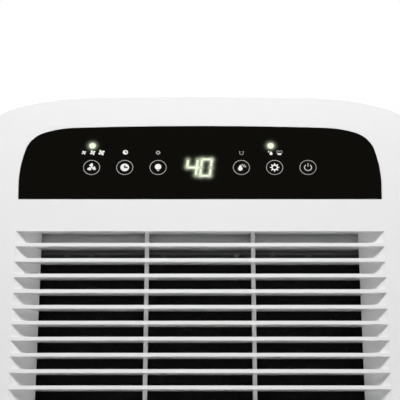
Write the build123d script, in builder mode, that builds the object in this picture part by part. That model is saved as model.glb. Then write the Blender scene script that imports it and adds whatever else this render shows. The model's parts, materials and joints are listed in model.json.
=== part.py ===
"""Compressor dehumidifier: leaning louvred front, slide-out water tank, side-drawn filter, four casters.

Millimetres. +Z is up, the front faces -Y, and the origin is at the floor under the middle of the casing.
"""
import math
import os

from build123d import *

os.makedirs("parts", exist_ok=True)

# Overall size
width = 370.0
depth = 262.0
height = 570.0
wall = 3.0
half_width = width / 2
half_depth = depth / 2

# Leaning front face: it bends back from the vertical at bend_height
lean = 17.0
bend_height = 230.0
bend_radius = 300.0
face_ref_height = 477.1
lean_sin = math.sin(math.radians(lean))
lean_cos = math.cos(math.radians(lean))
lean_tan = math.tan(math.radians(lean))

# Front outline: (radius, angle) of each tangent arc from the crown towards the side
crown_arcs = [(3120.0, 1.72), (219.2, 14.55), (48.0, 57.4)]
front_edge_radius = 2.0
inner_edge_radius = 0.6
back_edge_radius = 16.0

# Control panel, measured up the face from the reference point
panel_top = 67.7
panel_bottom = 0.9
panel_arcs = [(2890.0, 2.0), (81.7, 16.8), (23.8, 55.5), (117.6, 13.7)]
panel_bottom_half = 143.6
panel_thickness = 2.2
panel_gap = 0.25
key_row = 28.7
key_positions = [-86.4, -59.8, -33.2, 33.2, 59.8, 86.4]

# Louvres
slot_count = 14
slot_pitch = 13.4
slot_height = 10.45
slot_top = -27.6
slot_half = 144.2
cheek_half = 124.6
cheek_depth = 10.5
throat_half = 125.2
slat_depth = 16.0
rib_offset = 41.6
rib_width = 3.2
rib_setback = 6.0

# Seams and tank bay
plinth_bottom = 34.0
plinth_top = 40.0
shell_seam_y = 20.0
seam_gap = 0.4
tank_top_seam = 236.0
tank_cover_back = -95.0

# Tank
tank_half = 166.0
tank_front_y = -124.0
tank_back_y = 6.0
tank_floor = 46.0
tank_rim = 190.0
tank_wall = 2.5
handle_y = -62.0
handle_z = 180.0
handle_reach = 44.0
pin_radius = 4.0
running_gap = 0.06
float_x = -110.0
float_y = -8.0
float_z = 168.0

# Filter cassette, behind the louvres and parallel to the face
filter_front = 19.0
filter_thickness = 8.0
filter_top = -36.4
filter_bottom = -206.0
filter_half = 150.0
filter_tabs = [-105.0, -86.1, -28.7, 28.7, 57.4, 86.1]
filter_play = 0.5

# Coils and fan
coil_half = 122.0
coil_low = 270.0
coil_high = 446.0
fin_pitch = 5.0
tube_radius = 4.0
tube_pitch = 24.0
tube_passes = 7
evaporator_y = (-8.0, 16.0)
condenser_y = (20.0, 42.0)
fan_z = 362.0
fan_radius = 86.0
shroud_bore = 90.0

# Compressor
compressor_x = -60.0
compressor_y = 60.0
compressor_radius = 42.0
compressor_top = 214.0

# Casters
caster_spots = {"fl": (-150.0, -95.0), "fr": (150.0, -95.0), "rl": (-150.0, 95.0), "rr": (150.0, 95.0)}
wheel_radius = 13.0
wheel_half = 7.0
caster_trail = 9.0
stem_radius = 4.0
axle_radius = 2.5

# Hand grips, exhaust grille, drain and cord entry
grip_low, grip_high = 452.0, 482.0
grip_front, grip_back = 36.0, 104.0
grip_depth = 22.0
grille_half = 95.0
grille_z = (268.0, 456.0)
louvre_count = 17
spout_at = (120.0, 78.0)
gland_at = (-140.0, 78.0)

# Tank cover: finger pull and level window
pull_low, pull_high = 204.0, 226.0
pull_half = 52.0
window_low, window_high = 70.0, 176.0
window_x = (118.0, 132.0)

# Screws
shell_screws = [(x, z) for x in (-174.0, 174.0) for z in (70.0, 215.0)] + [(-168.0, 512.0), (168.0, 512.0)]
base_screws_at = [(x, y) for x in (-174.0, 174.0) for y in (-20.0, 110.0)]


def face_y(z, inset=0.0):
    """Y of the leaning face at height z, moved in by inset."""
    return face_y_ref + inset / lean_cos + (z - face_ref_height) * lean_tan


face_y_ref = -half_depth + (face_ref_height - bend_height) * lean_tan
face = Plane(
    origin=(0, face_y_ref, face_ref_height),
    x_dir=(1, 0, 0),
    z_dir=(0, -lean_cos, lean_sin),
)


def block(low, high, mode=Mode.ADD):
    """Box between two corners, in the current part."""
    middle = [(a + b) / 2 for a, b in zip(low, high)]
    size = [b - a for a, b in zip(low, high)]
    with Locations(tuple(middle)):
        Box(*size, mode=mode)


def rod(centre, radius, length, axis, mode=Mode.ADD):
    """Cylinder centred on a point, along one of the axes X, Y or Z, in the current part."""
    turn = {"X": (0, 90, 0), "Y": (90, 0, 0), "Z": (0, 0, 0)}[axis]
    with Locations(Location(centre, turn)):
        Cylinder(radius, length, mode=mode)


def arc_chain(start, arcs, inset=0.0):
    """Tangent arcs that turn clockwise from a level start; returns the last one."""
    arc = JernArc(start, (1, 0), arcs[0][0] - inset, -arcs[0][1])
    for radius, angle in arcs[1:]:
        arc = JernArc(arc @ 1, arc % 1, radius - inset, -angle)
    return arc


def closing_arc():
    """The arc that brings the crown's chain upright at the half width."""
    turned, reach = 0.0, 0.0
    for radius, angle in crown_arcs:
        start, turned = turned, turned + angle
        reach += radius * (math.sin(math.radians(turned)) - math.sin(math.radians(start)))
    left = 1 - math.sin(math.radians(turned))
    return ((half_width - reach) / left, 90.0 - turned)


def casing(inset, bottom):
    """Whole casing as a solid down to bottom, with every wall moved in by inset."""
    front_y = -half_depth + inset
    back_y = half_depth - inset
    bend_z = face_ref_height + (front_y - face_y_ref - inset / lean_cos) / lean_tan
    top_z = height + 30
    with BuildPart() as body:
        with BuildSketch(Plane.XZ):
            with BuildLine():
                last = arc_chain((0, height - inset), crown_arcs + [closing_arc()], inset)
                Polyline(last @ 1, (half_width - inset, bottom), (0, bottom))
                mirror(about=Plane.YZ)
            make_face()
        extrude(amount=depth, both=True)
        with BuildSketch(Plane.YZ):
            with BuildLine():
                FilletPolyline(
                    (front_y, bottom - 1),
                    (front_y, bend_z),
                    (face_y(top_z, inset), top_z),
                    radius=bend_radius - inset,
                )
                Polyline(
                    (face_y(top_z, inset), top_z),
                    (back_y, top_z),
                    (back_y, bottom - 1),
                    (front_y, bottom - 1),
                )
            make_face()
        extrude(amount=width, both=True, mode=Mode.INTERSECT)
        rims = body.edges().filter_by(lambda e: (e @ 0.5).Z > bottom + 1)
        back_rim = rims.filter_by(lambda e: abs((e @ 0.5).Y - back_y) < 0.01 and abs((e % 0.5).Y) < 0.01)
        fillet(back_rim, back_edge_radius - inset)
        rims = body.edges().filter_by(lambda e: (e @ 0.5).Z > bottom + 1 and (e @ 0.5).Y < shell_seam_y)
        front_rim = rims.filter_by(lambda e: on_front(e @ 0.5, inset) and abs((e @ 0.5).X) > 0.01)
        edge_radius = max(front_edge_radius - inset, inner_edge_radius)
        fillet(front_rim + rims.filter_by(lambda e: is_front_crown(e, inset)), edge_radius)
    return body.part


def front_surface_y(z, inset):
    """Y of the front surface at height z: upright, then the bend, then the leaning face."""
    bend_z = face_ref_height + (-half_depth + inset - face_y_ref - inset / lean_cos) / lean_tan
    radius = bend_radius - inset
    run = radius * math.tan(math.radians(lean / 2))
    if z <= bend_z - run:
        return -half_depth + inset
    if z >= bend_z + run * lean_cos:
        return face_y(z, inset)
    rise = z - (bend_z - run)
    return -half_depth + inset + radius - math.sqrt(radius**2 - rise**2)


def on_front(point, inset):
    """Whether a point lies on the casing's front surface."""
    return abs(point.Y - front_surface_y(point.Z, inset)) < 0.05


def is_front_crown(edge, inset):
    """Whether an edge is the crown where the face meets the top."""
    middle = edge @ 0.5
    return abs(middle.X) < 0.01 and on_front(middle, inset) and middle.Z > height - 40


def save(part, label):
    """Labels a finished part and writes its file."""
    part.label = label
    export_step(part, f"parts/{label}.step")


def panel_outline(gap):
    """Outline of the control panel in face coordinates, grown by gap."""
    with BuildSketch() as outline:
        with BuildLine():
            last = arc_chain((0, panel_top + gap), [(r + gap, a) for r, a in panel_arcs])
            Polyline(
                last @ 1,
                (panel_bottom_half + gap, panel_bottom - gap),
                (0, panel_bottom - gap),
            )
            mirror(about=Plane.YZ)
        make_face()
    return outline.sketch


def slot_span(number):
    """Top and bottom of a louvre slot, up the face."""
    top = slot_top - number * slot_pitch
    return top, top - slot_height


def slab(u_low, u_high, v_low, v_high, d_low, d_high, mode=Mode.ADD):
    """Box in face coordinates: across, up the face, and in behind it, in the current part."""
    centre = ((u_low + u_high) / 2, (v_low + v_high) / 2, -(d_low + d_high) / 2)
    with Locations(face.location * Location(centre)):
        Box(u_high - u_low, v_high - v_low, d_high - d_low, mode=mode)


def pipe(points, radius, bend):
    """Round pipe along a polyline with rounded corners."""
    with BuildPart() as tube:
        with BuildLine() as path:
            FilletPolyline(*points, radius=bend)
        with BuildSketch(Plane(path.line ^ 0)):
            Circle(radius)
        sweep(path=path.line)
    return tube.part


outer = casing(0.0, plinth_top)
inner = casing(wall, plinth_top - 5)

# Cutter for the louvre slots: sloping cheeks, then a narrow throat
throat_depth = slat_depth * lean_cos
cheek_slope = (slot_half - cheek_half) / cheek_depth


def slot_section(number, into, half):
    """Section of a louvre slot in a plane parallel to the face, at a depth behind it."""
    top, bottom = slot_span(number)
    rise = into * lean_tan
    with BuildSketch(face.offset(-into)) as section:
        with Locations((0, (top + bottom) / 2 + rise)):
            Rectangle(2 * half, top - bottom)
    return section.sketch


with BuildPart() as slot_cutter:
    for number in range(slot_count):
        mouth = slot_section(number, -1.0, slot_half + cheek_slope)
        neck = slot_section(number, cheek_depth, cheek_half)
        throat = slot_section(number, throat_depth, throat_half)
        loft([mouth, neck])
        loft([neck, throat])

grille_low = slot_span(slot_count - 1)[1] - 5
grille_high = slot_top + 5
rib_span = (grille_high - 2, grille_low + 2)
slot_mouth_half = slot_half + 4

with BuildPart() as front_shell:
    add(outer)
    add(inner, mode=Mode.SUBTRACT)
    split(bisect_by=Plane.XZ.offset(-shell_seam_y + seam_gap / 2), keep=Keep.TOP)
    block(
        (-half_width - 5, -half_depth - 1, 0),
        (half_width + 5, tank_cover_back + seam_gap, tank_top_seam + seam_gap),
        Mode.SUBTRACT,
    )
    slab(-slot_mouth_half, slot_mouth_half, grille_low, grille_high, wall - 0.5, throat_depth)
    add(slot_cutter.part, mode=Mode.SUBTRACT)
    for side in (-rib_offset, rib_offset):
        slab(side - rib_width / 2, side + rib_width / 2, rib_span[1], rib_span[0], rib_setback, throat_depth)
    with BuildSketch(face.offset(-wall + 0.5)):
        add(panel_outline(3.0))
    extrude(amount=-3.0)
    with BuildSketch(face.offset(1)):
        add(panel_outline(panel_gap))
    extrude(amount=-(panel_thickness + 1), mode=Mode.SUBTRACT)
    with BuildSketch(face):
        add(panel_outline(-6.0))
    extrude(amount=-8, mode=Mode.SUBTRACT)
    # Slot in the right wall where the filter draws out
    slab(
        half_width - wall - 4,
        half_width + 4,
        filter_bottom - filter_play,
        filter_top + filter_play,
        filter_front - filter_play,
        filter_front + filter_thickness + filter_play,
        Mode.SUBTRACT,
    )
    # Screw posts behind the seam, webbed to the side walls
    for x, z in shell_screws:
        side = math.copysign(1, x)
        rod((x, shell_seam_y - 6.2, z), 6, 12, "Y")
        web = sorted((x, side * (half_width - wall + (0.5 if z < 500 else -0.3))))
        block((web[0], shell_seam_y - 12.2, z - 2), (web[1], shell_seam_y - 0.2, z + 2))
        rod((x, shell_seam_y - 5.2, z), 1.8, 10.2, "Y", Mode.SUBTRACT)
    # Feet posts for the base screws
    for side in (-1, 1):
        ends = sorted((side * 168.0, side * (half_width - wall + 0.5)))
        block((ends[0], -26, plinth_top), (ends[1], -14, plinth_top + 12))
        rod((side * 174.0, -20, plinth_top + 5), 1.8, 10.2, "Z", Mode.SUBTRACT)

with BuildPart() as rear_shell:
    add(outer)
    add(inner, mode=Mode.SUBTRACT)
    split(bisect_by=Plane.XZ.offset(-shell_seam_y - seam_gap / 2), keep=Keep.BOTTOM)
    for x, z in shell_screws:
        side = math.copysign(1, x)
        rod((x, (shell_seam_y + 0.2 + 128.5) / 2, z), 6.5, 128.5 - shell_seam_y - 0.2, "Y")
        web = sorted((x, side * (half_width - wall + (0.5 if z < 500 else -0.3))))
        block((web[0], shell_seam_y + 0.2, z - 2), (web[1], 128.5, z + 2))
    for x, z in shell_screws:
        rod((x, 84, z), 4.2, 100, "Y", Mode.SUBTRACT)
        rod((x, 30, z), 2.1, 30, "Y", Mode.SUBTRACT)
    for side in (-1, 1):
        ends = sorted((side * 168.0, side * (half_width - wall + 0.5)))
        block((ends[0], 104, plinth_top), (ends[1], 116, plinth_top + 12))
        rod((side * 174.0, 110, plinth_top + 5), 1.8, 10.2, "Z", Mode.SUBTRACT)
    # Hand grips, exhaust, drain and cord openings
    for side in (-1, 1):
        block(
            (side * half_width - 5, grip_front - 0.3, grip_low - 0.3),
            (side * half_width + 5, grip_back + 0.3, grip_high + 0.3),
            Mode.SUBTRACT,
        )
    block(
        (-grille_half - 0.3, half_depth - 5, grille_z[0] - 0.3),
        (grille_half + 0.3, half_depth + 5, grille_z[1] + 0.3),
        Mode.SUBTRACT,
    )
    with Locations((spout_at[0], half_depth - 8.5, spout_at[1])):
        Box(44, 17, 34)
    with Locations((spout_at[0], half_depth - 6, spout_at[1])):
        Box(40, 18, 30, mode=Mode.SUBTRACT)
    rod((spout_at[0], half_depth - 16, spout_at[1]), 9.3, 8, "Y", Mode.SUBTRACT)
    rod((gland_at[0], half_depth, gland_at[1]), 7.4, 10, "Y", Mode.SUBTRACT)
    rod((gland_at[0], half_depth + 0.5, gland_at[1]), 10.3, 4, "Y", Mode.SUBTRACT)

with BuildPart() as exhaust_grille:
    block((-grille_half, half_depth - 3, grille_z[0]), (grille_half, half_depth, grille_z[1]))
    block(
        (-grille_half - 6, half_depth - 6, grille_z[0] - 6),
        (grille_half + 6, half_depth - 3, grille_z[1] + 6),
    )
    block(
        (-grille_half + 5, half_depth - 8, grille_z[0] + 5),
        (grille_half - 5, half_depth + 1, grille_z[1] - 5),
        Mode.SUBTRACT,
    )
    louvre_step = (grille_z[1] - grille_z[0] - 10) / (louvre_count + 1)
    louvre_heights = [grille_z[0] + 5 + louvre_step * (k + 1) for k in range(louvre_count)]
    with Locations(*[(0, half_depth - 3, z) for z in louvre_heights]):
        Box(2 * grille_half - 9, 6, 2.6)
    with Locations((-45, half_depth - 4.5, fan_z), (45, half_depth - 4.5, fan_z)):
        Box(3, 3, grille_z[1] - grille_z[0] - 9)

with BuildPart() as left_grip:
    block((-half_width, grip_front, grip_low), (-half_width + grip_depth, grip_back, grip_high))
    block(
        (-half_width + wall, grip_front - 4, grip_low - 4),
        (-half_width + wall + 2, grip_back + 4, grip_high + 4),
    )
    back_edges = left_grip.edges().group_by(Axis.X)[-1]
    fillet(back_edges, 5)
    block(
        (-half_width - 1, grip_front + 2, grip_low + 2),
        (-half_width + grip_depth - 2, grip_back - 2, grip_high - 2),
        Mode.SUBTRACT,
    )

with BuildPart() as right_grip:
    add(left_grip.part)
    mirror(about=Plane.YZ)
    block((-half_width - 1, 0, 400), (0, half_depth, 500), Mode.SUBTRACT)

with BuildPart() as control_panel:
    with BuildSketch(face):
        add(panel_outline(0))
    extrude(amount=-panel_thickness)

with BuildPart() as panel_carrier:
    slab(-134, 134, 3, 62, 5.8, 7.8)
    slab(-128, 128, 8, 57, 5, 9, Mode.SUBTRACT)
    for u in (-73, -20, 20, 73):
        slab(u - 1.5, u + 1.5, 3, 62, 5.8, 7.8)

with BuildPart() as display_board:
    slab(-128, 128, 6, 59, 8.0, 9.6)

with BuildPart() as digit_module:
    slab(-14, 14, 18, 41, 2.5, 7.9)

with BuildPart() as touch_springs:
    for u in key_positions:
        with Locations(face.location * Location((u, key_row, -5.2))):
            Cylinder(5, 5.2)

with BuildPart() as humidity_sensor:
    slab(90, 112, 8, 20, 9.6, 13.6)
    slab(95, 107, 10, 18, 13.6, 16.6)

with BuildPart() as intake_frame:
    slab(-158, 158, filter_bottom - 14, -8, throat_depth + 1.4, 32)
    slab(-145, 145, filter_bottom + 2, filter_top - 2.6, throat_depth, 40, Mode.SUBTRACT)
    slab(
        -filter_half - 2,
        200,
        filter_bottom - filter_play,
        filter_top + 1.8,
        filter_front - filter_play,
        filter_front + filter_thickness + filter_play,
        Mode.SUBTRACT,
    )
    slab(-145, 145, filter_bottom + 2, filter_top + 1.8, throat_depth, filter_front, Mode.SUBTRACT)

with BuildPart() as filter_frame:
    filter_back = filter_front + filter_thickness
    slab(-filter_half, half_width, filter_bottom, filter_top, filter_front, filter_back)
    net_low, net_high = filter_bottom + 3, filter_top - 2.6
    slab(-filter_half + 5, 143, net_low, net_high, filter_front - 1, filter_back + 1, Mode.SUBTRACT)
    slab(150, half_width - 3, net_low, net_high, filter_front + 1.6, filter_back + 1, Mode.SUBTRACT)
    for u in (-100, -50, 0, 50, 100):
        slab(u - 1, u + 1, filter_bottom + 2, filter_top - 2, filter_back - 2, filter_back)
    for k in (1, 2, 3):
        v = filter_bottom + (filter_top - filter_bottom) * k / 4
        slab(-filter_half + 4, 144, v - 1, v + 1, filter_back - 2, filter_back)
    for u in filter_tabs:
        slab(u - 2, u + 2, filter_top - 4.6, filter_top - 2.0, filter_front, filter_front + 2)
    # Finger scoop in the end plate
    scoop_v = (filter_top + filter_bottom) / 2
    scoop = (scoop_v - 22, scoop_v + 22, filter_front + 1.6, filter_back - 1.6)
    slab(half_width - 2, half_width + 1, *scoop, Mode.SUBTRACT)

with BuildPart() as filter_mesh:
    slab(-filter_half + 5, 143, net_low, net_high, filter_back - 2.9, filter_back - 2.1)


def coil_tubes(y_pair):
    """Serpentine tube through a coil block, with a short tail at each end."""
    y = sum(y_pair) / 2
    low = (coil_low + coil_high) / 2 - tube_pitch * (tube_passes - 1) / 2
    points = [(coil_half + 20, y, low)]
    for k in range(tube_passes):
        side = -1 if k % 2 == 0 else 1
        points.append((side * (coil_half + 16), y, low + k * tube_pitch))
        points.append((side * (coil_half + 16), y, low + (k + 1) * tube_pitch))
    points[-1] = (-coil_half - 20, y, low + (tube_passes - 1) * tube_pitch)
    points.pop(-2)
    return pipe(points, tube_radius, tube_pitch / 2 - 0.5)


def coil_fins(y_pair):
    """Stack of thin fins with a plate at each end, holed for the tube."""
    y = sum(y_pair) / 2
    deep = y_pair[1] - y_pair[0]
    middle = (coil_low + coil_high) / 2
    count = int(2 * (coil_half - 6) / fin_pitch) + 1
    with BuildPart() as stack:
        with Locations(*[((k - (count - 1) / 2) * fin_pitch, y, middle) for k in range(count)]):
            Box(0.8, deep - 2, coil_high - coil_low - 4)
        with Locations((-coil_half + 1, y, middle), (coil_half - 1, y, middle)):
            Box(2, deep, coil_high - coil_low)
        for k in range(tube_passes):
            z = middle + (k - (tube_passes - 1) / 2) * tube_pitch
            rod((0, y, z), tube_radius, 2 * coil_half + 4, "X", Mode.SUBTRACT)
    return stack.part


with BuildPart() as drip_tray:
    block((-150, -14, 246), (150, 46, 264))
    block((-147.5, -11.5, 249), (147.5, 43.5, 265), Mode.SUBTRACT)
    rod((100, -4, 242), 7, 9, "Z")
    rod((100, -4, 242), 4.5, 20, "Z", Mode.SUBTRACT)

with BuildPart() as bay_partition:
    block((-166, 12, 47), (166, 14.5, 240))
    block((-178, -60, 240.4), (178, 6, 243))
    block((-166, 5.9, 238), (166, 14.5, 243))
    rod((100, -4, 242), 8, 12, "Z", Mode.SUBTRACT)

with BuildPart() as fan_shroud:
    block((-142, 46.5, 262), (142, 49, 460))
    rod((0, 60, fan_z), shroud_bore + 2.5, 28, "Y")
    rod((0, 60, fan_z), shroud_bore, 60, "Y", Mode.SUBTRACT)
    for x in (-118, 118):
        for z in (290, 434):
            rod((x, 76, z), 6, 58, "Y")

with BuildPart() as motor_bracket:
    for x in (-118, 118):
        for z in (290, 434):
            rod((x, 106.5, z), 8, 3, "Y")
    for x, z in ((-118, 290), (118, 290), (-118, 434), (118, 434)):
        reach = math.hypot(x, z - fan_z)
        turn = math.degrees(math.atan2(z - fan_z, x))
        with Locations(Location((x / 2, 106.5, fan_z + (z - fan_z) / 2), (0, -turn, 0))):
            Box(reach, 3, 12)
    rod((0, 106.5, fan_z), 40, 3, "Y")
    rod((0, 106.5, fan_z), 9, 20, "Y", Mode.SUBTRACT)

with BuildPart() as fan_motor:
    rod((0, 114, fan_z), 34, 12, "Y")
    rod((0, 105, fan_z), 8.7, 6, "Y")
    rod((0, 92, fan_z), pin_radius, 40, "Y")
    fillet(fan_motor.edges().group_by(Axis.Y)[-1], 3)

hub_radius = 30.0
with BuildPart() as fan_impeller:
    rod((0, 84, fan_z), hub_radius, 32, "Y")
    for k in range(7):
        turn = 360 / 7 * k
        mid = (hub_radius + fan_radius) / 2 - 1
        place = Location((0, 84, fan_z), (0, turn, 0)) * Location((mid, 0, 0), (38, 0, 0))
        with Locations(place):
            Box(fan_radius - hub_radius + 2, 44, 2.6)
    with BuildSketch(Plane.XZ.offset(-66)):
        with Locations((0, fan_z)):
            Circle(fan_radius)
    extrude(amount=-36, mode=Mode.INTERSECT)
    rod((0, 98, fan_z), hub_radius - 3, 20, "Y", Mode.SUBTRACT)
    rod((0, 84, fan_z), 8, 32, "Y")
    rod((0, 84, fan_z), pin_radius + running_gap, 60, "Y", Mode.SUBTRACT)

# Compressor, its mounts and the pipework
feet = [
    (compressor_x - 48, compressor_y - 34),
    (compressor_x + 48, compressor_y - 34),
    (compressor_x, compressor_y + 52),
]
with BuildPart() as compressor_feet:
    with BuildSketch(Plane.XY.offset(56)):
        with BuildLine():
            Polyline(*feet, close=True)
        make_face()
        offset(amount=9)
    extrude(amount=3)
    for x, y in feet:
        rod((x, y, 57), 3.6, 10, "Z", Mode.SUBTRACT)

with BuildPart() as compressor_can:
    with BuildSketch(Plane.XZ.offset(-compressor_y)):
        with BuildLine():
            Polyline(
                (compressor_x, 59),
                (compressor_x + compressor_radius, 59),
                (compressor_x + compressor_radius, compressor_top),
                (compressor_x, compressor_top),
                close=True,
            )
        make_face()
    revolve(axis=Axis((compressor_x, compressor_y, 0), (0, 0, 1)))
    fillet(compressor_can.edges().group_by(Axis.Z)[-1], 12)
    rod((compressor_x, compressor_y, 120), compressor_radius + 1.5, 4, "Z")

with BuildPart() as terminal_cover:
    rod((compressor_x, compressor_y, compressor_top + 8), 16, 16, "Z")
    fillet(terminal_cover.edges().group_by(Axis.Z)[-1], 4)

with BuildPart() as compressor_grommets:
    for x, y in feet:
        rod((x, y, 50), 8, 12, "Z")
        rod((x, y, 50), 3.6, 20, "Z", Mode.SUBTRACT)

with BuildPart() as compressor_studs:
    for x, y in feet:
        rod((x, y, 51), 3, 28, "Z")
        rod((x, y, 61.5), 6, 5, "Z")

accumulator_at = (compressor_x + 66, compressor_y + 12)
with BuildPart() as accumulator:
    rod((*accumulator_at, 130), 17, 100, "Z")
    fillet(accumulator.edges().filter_by(GeomType.CIRCLE), 7)

with BuildPart() as accumulator_strap:
    rod((*accumulator_at, 150), 19, 10, "Z")
    rod((*accumulator_at, 150), 17.4, 20, "Z", Mode.SUBTRACT)
    block(
        (compressor_x + compressor_radius + 0.3, compressor_y + 8, 145),
        (accumulator_at[0] - 18, compressor_y + 16, 155),
    )

suction_pipe = pipe(
    [
        (coil_half + 20.2, 4, 286),
        (coil_half + 34, 4, 286),
        (coil_half + 34, 90, 286),
        (coil_half + 34, 90, 232),
        (*accumulator_at[:1], 90, 232),
        (*accumulator_at[:1], accumulator_at[1], 232),
        (*accumulator_at, 180.2),
    ],
    3.5,
    4,
)
discharge_pipe = pipe(
    [
        (compressor_x - 25, compressor_y, compressor_top),
        (compressor_x - 25, compressor_y, 240),
        (-156, compressor_y, 240),
        (-156, 31, 240),
        (-156, 31, 430),
        (-142.2, 31, 430),
    ],
    3.0,
    5,
)

with BuildPart() as filter_drier:
    rod((150, 64, 330), 9, 60, "Z")
    fillet(filter_drier.edges().filter_by(GeomType.CIRCLE), 4)

with BuildPart() as control_box:
    block((-100, -18, 470), (100, 96, 512))
    block((-97.5, -15.5, 472.5), (97.5, 93.5, 513), Mode.SUBTRACT)

with BuildPart() as control_box_lid:
    block((-101, -19, 512.2), (101, 97, 514.2))

with BuildPart() as main_board:
    block((-92, -10, 478), (40, 88, 479.6))
    block((-92, -10, 472.5), (-86, -4, 478))
    block((34, 82, 472.5), (40, 88, 478))
    block((-70, 10, 479.6), (-40, 45, 504))
    block((-20, 40, 479.6), (-2, 58, 496))
    rod((15, 20, 490), 9, 21, "Z")

with BuildPart() as run_capacitor:
    rod((70, 40, 492), 17, 90, "Y")

with BuildPart() as tank_switch:
    block((-150, 14.7, 160), (-130, 24, 184))

with BuildPart() as drain_spout:
    rod((spout_at[0], half_depth - 19, spout_at[1]), 11, 4, "Y")
    rod((spout_at[0], half_depth - 18, spout_at[1]), 9, 6, "Y")
    rod((spout_at[0], half_depth - 9, spout_at[1]), 6, 12, "Y")
    rod((spout_at[0], half_depth - 20, spout_at[1]), 4, 60, "Y", Mode.SUBTRACT)

with BuildPart() as drain_plug:
    rod((spout_at[0], half_depth - 1.5, spout_at[1]), 5.2, 3, "Y")
    rod((spout_at[0], half_depth - 8, spout_at[1]), 4 - running_gap, 10, "Y")

with BuildPart() as cord_gland:
    rod((gland_at[0], half_depth - 0.75, gland_at[1]), 10, 1.5, "Y")
    rod((gland_at[0], half_depth - 5.5, gland_at[1]), 7, 11, "Y")
    rod((gland_at[0], half_depth - 6, gland_at[1]), 9.5, 6, "Y")
    rod((gland_at[0], half_depth, gland_at[1]), 3.6, 60, "Y", Mode.SUBTRACT)

with BuildPart() as shell_screw_set:
    for x, z in shell_screws:
        rod((x, 22.5, z), 1.5, 23, "Y")
        rod((x, 35.5, z), 3.6, 3, "Y")

# Base pan
with BuildPart() as base_pan:
    with BuildSketch(Plane.XY.offset(plinth_bottom)):
        Rectangle(width, depth)
    extrude(amount=3)
    fillet(base_pan.edges().filter_by(Axis.Z).group_by(Axis.Y)[-1], back_edge_radius)
    fillet(base_pan.edges().filter_by(Axis.Z).group_by(Axis.Y)[0], front_edge_radius)
    lip_top = base_pan.faces().sort_by(Axis.Z)[-1]
    extrude(lip_top, amount=2.7)
    inside = (half_width - wall, half_depth - wall)
    block((-inside[0], -inside[1], 37), (*inside, 60), Mode.SUBTRACT)
    for side in (-1, 1):
        ends = sorted((side * 181.4, side * 179.0))
        block((ends[0], -8, 36.5), (ends[1], 98, 52))
        ends = sorted((side * 115.0, side * 125.0))
        block((ends[0], -110, 36.5), (ends[1], 8, tank_floor - 0.4))
        rod((side * 174.0, -20, 37), 3.8, 30, "Z", Mode.SUBTRACT)
        rod((side * 174.0, 110, 37), 3.8, 30, "Z", Mode.SUBTRACT)
    block((-150, 125, 36.5), (150, 127.6, 52))
    for x, y in caster_spots.values():
        rod((x, y, 41), 8, 8, "Z")
    for x, y in feet:
        rod((x, y, 40.5), 9, 7, "Z")
        rod((x, y, 44), 3.2, 18, "Z", Mode.SUBTRACT)
    for x, y in caster_spots.values():
        rod((x, y, 40), stem_radius + running_gap, 20, "Z", Mode.SUBTRACT)

with BuildPart() as base_screw_set:
    for x, y in base_screws_at:
        rod((x, y, 43), 1.5, 12, "Z")
        rod((x, y, 37.5), 3.4, 3, "Z")

# Tank
with BuildPart() as tank_hollow:
    block(
        (-tank_half + tank_wall, tank_front_y + tank_wall, tank_floor + tank_wall),
        (tank_half - tank_wall, tank_back_y - tank_wall, tank_rim + 10),
    )
    fillet(tank_hollow.edges().filter_by(Axis.Z), 12 - tank_wall)
    fillet(tank_hollow.edges().group_by(Axis.Z)[0], 6 - tank_wall)

with BuildPart() as water_tank:
    block((-tank_half, tank_front_y, tank_floor), (tank_half, tank_back_y, tank_rim))
    fillet(water_tank.edges().filter_by(Axis.Z), 12)
    fillet(water_tank.edges().group_by(Axis.Z)[0], 6)
    add(tank_hollow.part, mode=Mode.SUBTRACT)
    for side in (-1, 1):
        rod((side * (tank_half - 2.6), handle_y, handle_z), 8, 5.2, "X")
        rod((side * (tank_half - 2.6), handle_y, handle_z), pin_radius + running_gap, 12, "X", Mode.SUBTRACT)
        stop = sorted((side * (tank_half - 1), side * (tank_half - tank_wall - 9)))
        block((stop[0], -101, handle_z - 9), (stop[1], -93, handle_z - 3.3))
    for x in (float_x - 19, float_x + 15):
        block((x, float_y - 6, float_z - 6), (x + 4, tank_back_y - 1, float_z + 6))
    rod((float_x, float_y, float_z), 2.5 + running_gap, 60, "X", Mode.SUBTRACT)

with BuildPart() as tank_cover:
    add(outer)
    add(inner, mode=Mode.SUBTRACT)
    keep_low, keep_high = plinth_top + 0.4, tank_top_seam
    block((-200, tank_cover_back, 0), (200, 200, 700), Mode.SUBTRACT)
    block((-200, -200, keep_high), (200, 200, 700), Mode.SUBTRACT)
    block((-200, -200, 0), (200, 200, keep_low), Mode.SUBTRACT)
    # Finger pull: a pocket in the upper edge
    block((-pull_half - 2, -half_depth + 2.5, pull_low - 2), (pull_half + 2, -112, pull_high + 2))
    block((-pull_half, -half_depth - 1, pull_low), (pull_half, -114, pull_high), Mode.SUBTRACT)
    # Level window opening
    block(
        (window_x[0], -half_depth - 1, window_low),
        (window_x[1], -half_depth + 5, window_high),
        Mode.SUBTRACT,
    )
    # Bosses that seat on the tank
    boss_front = -half_depth + wall - 0.5
    for x in (-140.0, -50.0, 50.0, 140.0):
        for z in (62.0, 150.0):
            rod((x, (tank_front_y + boss_front) / 2, z), 5, tank_front_y - boss_front, "Y")

with BuildPart() as level_window:
    block(
        (window_x[0] + 0.3, -half_depth + 0.4, window_low + 0.3),
        (window_x[1] - 0.3, -half_depth + 3, window_high - 0.3),
    )
    block(
        (window_x[0] - 3, -half_depth + 3, window_low - 3),
        (window_x[1] + 3, -half_depth + 5, window_high + 3),
    )

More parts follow.
